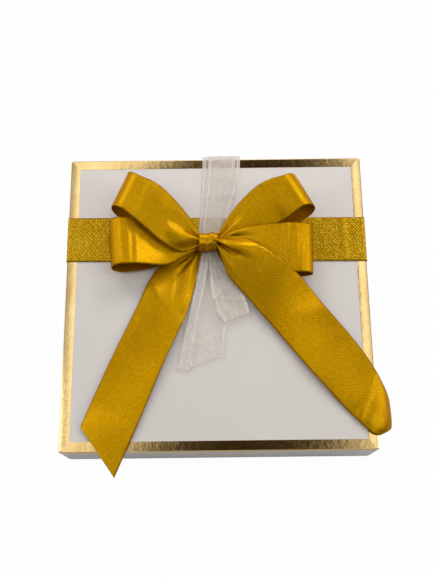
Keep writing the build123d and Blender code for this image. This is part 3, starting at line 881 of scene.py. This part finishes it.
def beforeKnot(right, forward, up):
    y = knot["y"] - knot["depth"] / 2 - forward * ribbonWidth
    return Vector((knot["x"] + right * ribbonWidth, y, lidTop + up * ribbonWidth))


def frontLine(rows):
    return [(beforeKnot(*r[:3]), beforeKnot(*r[3:6]), r[6] * ribbonWidth) for r in shares(rows)]


for endNode, endSpec in organzaEnds.items():
    endStyle = dict(organzaStyle, seed=endSpec["seed"], folds=endSpec["folds"])
    endStyle["materials"] = [finishes[endSpec.get("finish", "organza")]] * 2
    hung(endSpec["title"], endNode, between(frontLine(endSpec["line"]), 12), endStyle)

crumpledLoop = {
    "seed": 71.0, "fold": 0.06,
    "waves": ((9, 1.1, 0.9, 9), (17, 0.9, 0.7, -7), (25, 1, 0.8, 8), (31, 0.6, 0.6, -6)),
    "rise": (
        (16, -12, 20, 2, -12, 20, 0), (18, 0, 21, 2, 0, 20, 0), (33, 33, 21, 3, 40, 18, 2),
        (62, 74, 19, 6, 88, 17, 2), (78, 107, 16, 16, 128, 16, 1), (84, 128, 13, 30, 150, 13, 0),
    ),
    "back": (
        (84, 128, 7, 30, 150, 9, 0), (76, 107, 8, 18, 128, 11, 0), (56, 74, 10, 8, 88, 12, 0),
        (30, 33, 12, 4, 40, 13, 0), (16, 0, 13, 3, 0, 13, 0), (14, -12, 13, 3, -12, 13, 0),
    ),
}


def makeCrumpledLoop():
    rise = between(frontLine(crumpledLoop["rise"]), 10)
    back = between(frontLine(crumpledLoop["back"]), 10)
    reach = Vector((0, -1, 0)) * ribbonWidth * crumpledLoop["fold"]
    style = dict(organzaStyle, seed=crumpledLoop["seed"], up=-1, flutter=0.8 * mm, flutterScale=210.0)
    style["folds"] = [gathers(4.6, 1.2 * mm, 34 * mm), ridges(crumpledLoop["waves"])]
    line = turnedOver(rise, back, reach, 12)
    hung("organzaLoop", "organza_loop", line, style)


makeCrumpledLoop()


def geometryTree(name, floats, wholes=""):
    # a tree that takes a geometry and the numbers named
    tree = bpy.data.node_groups.new(name, "GeometryNodeTree")
    for titles, kind in (("Geometry", "Geometry"), (floats, "Float"), (wholes, "Int")):
        for title in titles.split():
            tree.interface.new_socket(title, in_out="INPUT", socket_type="NodeSocket" + kind)
    tree.interface.new_socket("Geometry", in_out="OUTPUT", socket_type="NodeSocketGeometry")
    start = tree.nodes.new("NodeGroupInput")
    return Bench(tree), {s.name: Field(tree, s) for s in start.outputs if s.name}


def spread(bench, values, material):
    # ends a tree with an instance on every point
    placed = bench.geometry("InstanceOnPoints", values)
    real = bench.geometry("RealizeInstances", {"Geometry": placed})
    done = bench.geometry("SetMaterial", {"Geometry": real, "Material": material})
    end = bench.tree.nodes.new("NodeGroupOutput")
    bench.tree.links.new(done.socket, end.inputs[0])
    return bench.tree


def grown(obj, tree, spec):
    # runs the tree with the numbers of the dictionary and keeps its result as a plain mesh
    modifier = obj.modifiers.new(tree.name, "NODES")
    modifier.node_group = tree
    for item in tree.interface.items_tree:
        if item.item_type == "SOCKET" and item.in_out == "INPUT" and item.name.lower() in spec:
            modifier[item.identifier] = spec[item.name.lower()]
    plainMesh(obj)
    shadeSmooth(obj.data)


picots = {"spacing": 0.85 * mm, "radius": 0.2 * mm}


def picotTree():
    bench, inputs = geometryTree("picotRow", "Spacing Radius")
    curve = bench.geometry("MeshToCurve", {"Mesh": inputs["Geometry"]})
    even = bench.geometry("ResampleCurve", {"Curve": curve, "Length": inputs["Spacing"]}, mode="LENGTH")
    bead = bench.geometry("MeshIcoSphere", {"Radius": inputs["Radius"], "Subdivisions": 1})
    return spread(bench, {"Points": even, "Instance": bead}, finishes["picot"])


def seedObject(name, points, edges=(), faces=()):
    mesh = bpy.data.meshes.new(name)
    mesh.from_pydata([tuple(p) for p in points], list(edges), list(faces))
    return shown(name, mesh)


def makePicots():
    points, edges = [], []
    for line in selvedges:
        start = len(points)
        points += line
        edges += [(start + n, start + n + 1) for n in range(len(line) - 1)]
    obj = seedObject("selvedgePicots", points, edges)
    grown(obj, picotTree(), picots)
    finishPiece(obj, "lid", "gold_satin")
    print("picots:", len(obj.data.polygons) // 20)


makePicots()


def squareLoop(half, z, radius, perSide=16, perCorner=5):
    loop = []
    radius = max(min(radius, half), 0.0)
    flat = half - radius
    bends = [pi / 2 * n / perCorner for n in range(perCorner)]
    for side in range(4):
        turn = pi / 2 * side
        c, s = round(cos(turn)), round(sin(turn))
        run = [(half, -flat + flat * 2 * n / perSide) for n in range(perSide)]
        run += [(flat + radius * cos(t), flat + radius * sin(t)) for t in bends]
        loop += [Vector((x * c - y * s, x * s + y * c, z)) for x, y in run]
    return loop


def sweptSquare(name, profile, corner, material, closed):
    # a profile swept round the square; caps close an open one
    widest = max(h for h, z in profile)
    loops = [squareLoop(h * mm, z * mm, max(corner - (widest - h), 0.05) * mm) for h, z in profile]
    count = len(loops[0])
    faces = []
    for n in range(len(loops) if closed else len(loops) - 1):
        m = (n + 1) % len(loops)
        for k in range(count):
            j = (k + 1) % count
            faces.append((n * count + k, n * count + j, m * count + j, m * count + k))
    if not closed:
        faces.append(tuple(range(count))[::-1])
        faces.append(tuple(range((len(loops) - 1) * count, len(loops) * count)))
    obj = piece(name, [p for loop in loops for p in loop], faces, [material], smooth=False)
    edited(obj.data, outward)
    return obj


def softShade(obj, angle=35):
    # smooth across bends gentler than the angle
    shadeSmooth(obj.data)
    obj.data.set_sharp_from_angle(angle=radians(angle))
    return obj


# each profile gives half sides and heights in millimetres, outside first
papers = {
    "lidPaper": {
        "body": "lid", "slot": "white_paper", "node": "lid_wrap", "finish": "lidPaper", "corner": 1.0,
        "profile": ((79.6, 34.0), (79.8, 33.97), (79.94, 33.85), (80.0, 33.6), (80.0, 3.25), (79.95, 3.06),
                    (79.8, 3.0), (78.3, 3.0), (78.15, 3.06), (78.1, 3.2), (78.1, 15.2), (78.3, 15.2),
                    (78.3, 3.2), (79.8, 3.2), (79.8, 33.8)),
    },
    "foilBorder": {
        "body": "lid", "slot": "gold_foil", "node": "gold_foil_border", "finish": "foil", "corner": 1.1,
        "closed": True, "soft": 50,
        "profile": ((74.8, 34.0), (74.8, 34.1), (79.55, 34.1), (79.85, 34.05), (80.02, 33.88), (80.1, 33.6),
                    (80.1, 32.25), (80.0, 32.2), (80.0, 33.6), (79.93, 33.83), (79.78, 33.95), (79.55, 34.0)),
    },
    "basePaper": {
        "body": "base", "slot": "white_paper", "node": "base_wrap", "finish": "basePaper", "corner": 1.0,
        "closed": True,
        "profile": ((77.7, 0.2), (77.7, 31.7), (77.62, 31.92), (77.45, 32.0), (76.0, 32.0), (75.86, 31.95),
                    (75.8, 31.8), (75.8, 19.8), (76.0, 19.8), (76.0, 31.8), (77.5, 31.8), (77.5, 0.2)),
    },
    "undersidePaper": {
        "body": "base", "slot": "white_paper", "node": "base_underside", "finish": "basePaper", "corner": 1.0,
        "profile": ((77.5, 0.2), (77.66, 0.17), (77.7, 0.1), (77.64, 0.02), (77.4, 0.0)),
    },
}
for paperName, sheet in papers.items():
    closed = sheet.get("closed", False)
    paper = sweptSquare(paperName, sheet["profile"], sheet["corner"], finishes[sheet["finish"]], closed)
    finishPiece(softShade(paper, sheet.get("soft", 35)), sheet["body"], sheet["slot"], sheet["node"])
print("papers and foil made")


cellPitch = 37.9 * mm
cellMiddles = [((c - 1.5) * cellPitch, (1.5 - r) * cellPitch) for r in range(4) for c in range(4)]
cups = {
    "base": 12.7 * mm, "flare": 3.9 * mm, "height": 15 * mm, "pleats": 34, "depth": 0.9 * mm, "seed": 4,
    "floor": 2.05 * mm, "paper": 0.1 * mm, "perPleat": 4, "rings": 11,
}


def cupTree():
    bench, inputs = geometryTree("pleatedCups", "Base Flare Height Depth", "Pleats Seed")
    across = cups["pleats"] * cups["perPleat"] + 1
    size = {"Size X": 1.0, "Size Y": 1.0, "Vertices X": across, "Vertices Y": cups["rings"]}
    grid = bench.geometry("MeshGrid", size)
    x, y, _ = bench.parts(bench.geometry("InputPosition", {}))
    angle = (x + 0.5) * tau
    floorShare = ((y + 0.5) / 0.3).held()
    wall = ((y + 0.2) / 0.7).held()
    zigzag = (angle * inputs["Pleats"]).sine()
    depth = inputs["Depth"]
    pleat = depth * (wall * 0.7 + 0.3) * floorShare * zigzag
    radius = inputs["Base"] * floorShare + inputs["Flare"] * wall + pleat
    flutter = (angle * 3.0).sine() * wall * depth * 0.25
    up = inputs["Height"] * wall + flutter - depth * 0.25 * wall
    place = bench.vector(radius * angle.cosine(), radius * angle.sine(), up)
    shaped = bench.geometry("SetPosition", {"Geometry": grid, "Position": place})
    shut = bench.geometry("MergeByDistance", {"Geometry": shaped, "Distance": 0.01 * mm})
    turn = bench.chance((0, 0, 0), (0, 0, tau), inputs["Seed"])
    return spread(bench, {"Points": inputs["Geometry"], "Instance": shut, "Rotation": turn}, finishes["cup"])


def makeCups():
    obj = seedObject("pleatedCups", [(x, y, cups["floor"]) for x, y in cellMiddles])
    grown(obj, cupTree(), cups)
    wall = obj.modifiers.new("paper", "SOLIDIFY")
    wall.thickness = cups["paper"]
    wall.offset = 1
    plainMesh(obj)
    finishPiece(obj, "base", "cup_paper", *[n for n in nodes if n.startswith("paper_cup")])
    print("cups:", len(obj.data.polygons), "faces")


makeCups()


chocolateKinds = {
    "gem": {"finish": "dark", "slot": "dark_chocolate", "edge": 0.5 * mm},
    "ridged": {"finish": "dark", "slot": "dark_chocolate", "edge": 0.35 * mm},
    "dome": {"finish": "milk", "slot": "milk_chocolate", "edge": 0.8 * mm},
    "stepped": {"finish": "milk", "slot": "milk_chocolate", "edge": 0.45 * mm},
}
crumbs = {"density": 260000.0, "size": 0.55 * mm, "seed": 12, "from": 12.6 * mm}
drizzle = {"thickness": 0.45 * mm, "width": 7.4 * mm, "runs": 7}


def softened(node, name, width, material):
    # a copy of a CAD piece with its sharp edges rounded
    def cleaned(bm):
        bmesh.ops.remove_doubles(bm, verts=bm.verts[:], dist=0.002 * mm)
        bmesh.ops.dissolve_limit(bm, angle_limit=0.02, verts=bm.verts[:], edges=bm.edges[:])

    mesh = nodes[node].data.copy()
    edited(mesh, cleaned)
    mesh.materials.clear()
    mesh.materials.append(material)
    obj = shown(name, mesh)
    bevel = obj.modifiers.new("softEdges", "BEVEL")
    bevel.width = width
    bevel.segments = 3
    bevel.limit_method = "ANGLE"
    bevel.angle_limit = radians(18)
    plainMesh(obj)
    return softShade(obj, 40)


def crumbTree():
    bench, inputs = geometryTree("nutCrumbs", "Density Size From", "Seed")
    _, _, z = bench.parts(bench.geometry("InputPosition", {}))
    values = {"Mesh": inputs["Geometry"], "Density": inputs["Density"], "Seed": inputs["Seed"]}
    values["Selection"] = z.above(inputs["From"])
    points = bench.geometry("DistributePointsOnFaces", values, distribute_method="RANDOM")
    bit = bench.geometry("MeshIcoSphere", {"Radius": inputs["Size"], "Subdivisions": 1})
    turn = bench.chance((0, 0, 0), (3, 3, 3), inputs["Seed"])
    grow = bench.chance((0.4, 0.5, 0.3), (1.3, 0.9, 0.7), inputs["Seed"])
    values = {"Points": points, "Instance": bit, "Rotation": turn, "Scale": grow}
    return spread(bench, values, finishes["nut"])


def joined(name, objects):
    # one new object that holds copies of the others' meshes
    bm = bmesh.new()
    for o in objects:
        bm.from_mesh(o.data)
    mesh = bpy.data.meshes.new(name)
    bm.to_mesh(mesh)
    bm.free()
    return shown(name, mesh)


def tube(name, lines, radius, material):
    data = bpy.data.curves.new(name, "CURVE")
    data.dimensions = "3D"
    data.bevel_depth = radius
    data.bevel_resolution = 2
    data.use_fill_caps = True
    for line in lines:
        spline = data.splines.new("NURBS")
        spline.points.add(len(line) - 1)
        for point, place in zip(spline.points, line):
            point.co = (*place, 1)
        spline.order_u = 3
        spline.use_endpoint_u = True
        spline.resolution_u = 5
    curve = shown(name, data)
    mesh = bpy.data.meshes.new_from_object(curve.evaluated_get(bpy.context.evaluated_depsgraph_get()))
    bpy.data.objects.remove(curve)
    mesh.materials.clear()
    mesh.materials.append(material)
    shadeSmooth(mesh)
    return shown(name, mesh)


def drizzleLine(node):
    low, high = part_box(node)
    middle, turns, width = (low + high) / 2, drizzle["runs"] * 2, drizzle["width"]
    line = []
    for n in range(turns + 1):
        along = (n / turns - 0.5) * width * 1.9
        side = width if n % 2 else -width
        line.append((middle.x + side, middle.y + along, high.z + drizzle["thickness"] * 0.5))
    return line


def makeChocolates():
    domes, drizzled = [], []
    for name in sorted(n for n in nodes if n.startswith("chocolate")):
        number, kind = name.split("_")[1:]
        spec = chocolateKinds[kind]
        obj = softened(name, kind + "Chocolate" + number, spec["edge"], finishes[spec["finish"]])
        finishPiece(obj, "base", spec["slot"], name)
        if kind == "dome":
            domes.append(obj)
        if kind == "ridged":
            drizzled.append(drizzleLine(name))
    crumbed = joined("nutCrumbs", domes)
    grown(crumbed, crumbTree(), crumbs)
    finishPiece(crumbed, "base", "milk_chocolate")
    lines = tube("creamDrizzle", drizzled, drizzle["thickness"], finishes["drizzle"])
    finishPiece(lines, "base", "milk_chocolate")
    print("crumbs:", len(crumbed.data.polygons) // 20)


makeChocolates()

quilt = {
    "side": 150 * mm, "low": 26.2 * mm, "thickness": 4.6 * mm, "squares": 5, "steps": 110, "sink": 2.9 * mm,
    "drawn": 1.5 * mm, "dents": 0.12 * mm, "dentScale": 260, "under": 0.15 * mm, "weld": 0.35 * mm,
    "crowding": 1.15, "edgePower": 14,
}


def quiltPoint(side, u, v):
    # u and v run from -1 to 1 over the pad; side is 1 above and -1 below
    a, b = [copysign(1 - (1 - abs(share)) ** quilt["crowding"], share) for share in (u, v)]
    half, squares = quilt["side"] / 2, quilt["squares"]
    edge = max((1 - a ** quilt["edgePower"]) * (1 - b ** quilt["edgePower"]), 0) ** 0.5
    drawn = 1 - quilt["drawn"] / half
    x = a * half * (drawn + (1 - drawn) * b ** 4)
    y = b * half * (drawn + (1 - drawn) * a ** 4)
    rise = quilt["thickness"] / 2 * edge
    if side > 0:
        waves = [sin(pi * squares * (share + 1) / 2) for share in (a, b)]
        puff = abs(waves[0] * waves[1]) ** 0.5
        rise -= quilt["sink"] * (1 - puff) * edge
        rise -= quilt["dents"] * (1 + noise.noise(Vector((x, y, 0)) * quilt["dentScale"]))
    else:
        rise -= quilt["under"]
    return Vector((x, y, quilt["low"] + quilt["thickness"] / 2 + side * rise))


def makePad():
    steps = quilt["steps"]
    wide = steps + 1
    size = wide * wide
    lines = [n / steps * 2 - 1 for n in range(wide)]
    points = [quiltPoint(side, u, v) for side in (1, -1) for u in lines for v in lines]
    faces = []
    for n in range(steps):
        for k in range(steps):
            a, b, c, d = n * wide + k, (n + 1) * wide + k, (n + 1) * wide + k + 1, n * wide + k + 1
            faces.append((a, b, c, d))
            faces.append((a + size, d + size, c + size, b + size))

    def welded(bm):
        bmesh.ops.remove_doubles(bm, verts=bm.verts[:], dist=quilt["weld"])

    obj = piece("quiltedPad", points, faces, [finishes["pad"]])
    edited(obj.data, welded, filled, outward)
    finishPiece(obj, "pad", "quilted_paper", "cushion_pad")


makePad()

for nodeName, obj in nodes.items():  # CAD pieces that stay get their finish here
    for word, key in (("carton", "greyBoard"), ("liner", "liner"), ("divider", "card")):
        if word in nodeName:
            obj.data.materials.clear()
            obj.data.materials.append(finishes[key])
print("inside made")


lamps = {  # place, size, power
    "backRightLamp": ((0.5, 0.92, 0.68), (0.3, 0.3), 2.6),
    "backLeftLamp": ((-0.52, 0.92, 0.68), (0.3, 0.3), 2.0),
    "leftPanel": ((-0.62, 0.05, 0.62), (0.16, 0.7), 0.85),
    "rightPanel": ((0.66, 0.0, 0.62), (0.16, 0.7), 1.2),
}
lampAim = (0, 0, 0.03)
floorSpec = {"half": 3.0, "share": 0.97}
room = {
    "bright": 1.6, "front": 0.97, "frontFrom": 0.3, "horizon": 0.05, "right": 0.028, "splay": 0.04,
    "ahead": 0.32, "behind": 1.1, "dim": 0.1, "dimTint": (1.6, 0.85, 0.2),
    # brightness by how far a direction leans aside from the dark strip that the foil mirrors
    "stops": ((0.0, 0.012), (0.064, 0.012), (0.08, 1.0), (0.14, 1.0), (0.16, 0.5), (0.21, 0.45), (0.25, 0.18),
              (0.45, 0.18), (0.62, 0.5), (1.0, 0.5)),
}


def addFloor():
    half = floorSpec["half"]
    corners = [(-half, -half, 0), (half, -half, 0), (half, half, 0), (-half, half, 0)]
    floor = seedObject("floor", corners, faces=[(0, 1, 2, 3)])
    f = Finish("paleFloor", Roughness=0.9)
    f.show("Base Color", f.blend(f.speckle(8.0), (0.86, 0.86, 0.86, 1), (0.9, 0.9, 0.9, 1)))
    glow = f.make("ShaderNodeEmission", None, {"Color": (1, 1, 1, 1), "Strength": 1.0})
    share = (f.make("ShaderNodeLightPath", out="Is Camera Ray") * floorSpec["share"]).held()
    mix = f.make("ShaderNodeMixShader", None, {0: share, 1: Field(f.tree, f.shader.outputs[0]), 2: glow})
    f.tree.links.new(mix.socket, f.tree.nodes["Material Output"].inputs["Surface"])
    floor.data.materials.append(f.material)


def addWorld():
    world = bpy.data.worlds.new("studioWorld")
    scene.world = world
    world.use_nodes = True
    bench = Bench(world.node_tree)
    x, y, z = bench.parts(bench.make("ShaderNodeTexCoord"))
    camera = bench.make("ShaderNodeLightPath", out="Is Camera Ray")
    rise = z.atLeast(room["horizon"])
    aside, back = x / rise, y / rise
    # the strip ends ahead and behind
    within = ((back + room["ahead"]) * 8).held() * ((room["behind"] - back) * 6).held()
    apart = (aside - room["right"] - back.held() * room["splay"]).size().atLeast((1 - within) * 0.2)
    ahead = 1 - ((room["frontFrom"] - back) * 0.55).held() * room["front"]
    stops = []
    for at, glow in room["stops"]:
        tint = room["dimTint"] if glow < room["dim"] else (1, 1, 1)
        stops.append((at, (*[glow * t for t in tint], 1)))
    tone = bench.make("ShaderNodeValToRGB", {"stops": stops}, {"Fac": apart * 0.5})
    background = world.node_tree.nodes["Background"]
    feed(world.node_tree, background.inputs["Color"], bench.blend(camera, tone, (1, 1, 1, 1)))
    feed(world.node_tree, background.inputs["Strength"], ahead * room["bright"] * (1 - camera) + camera)


def addLamps():
    for name, (place, size, power) in lamps.items():
        data = bpy.data.lights.new(name, "AREA")
        data.shape = "RECTANGLE"
        data.size, data.size_y = size
        data.energy = power
        lamp = shown(name, data)
        lamp.location = place
        lamp.rotation_euler = (Vector(lampAim) - Vector(place)).to_track_quat("-Z", "Y").to_euler()


addFloor()
addWorld()
addLamps()
scene.view_settings.view_transform = "Standard"
scene.cycles.transparent_max_bounces = 32  # the organza lies in many sheer layers
print("studio ready")
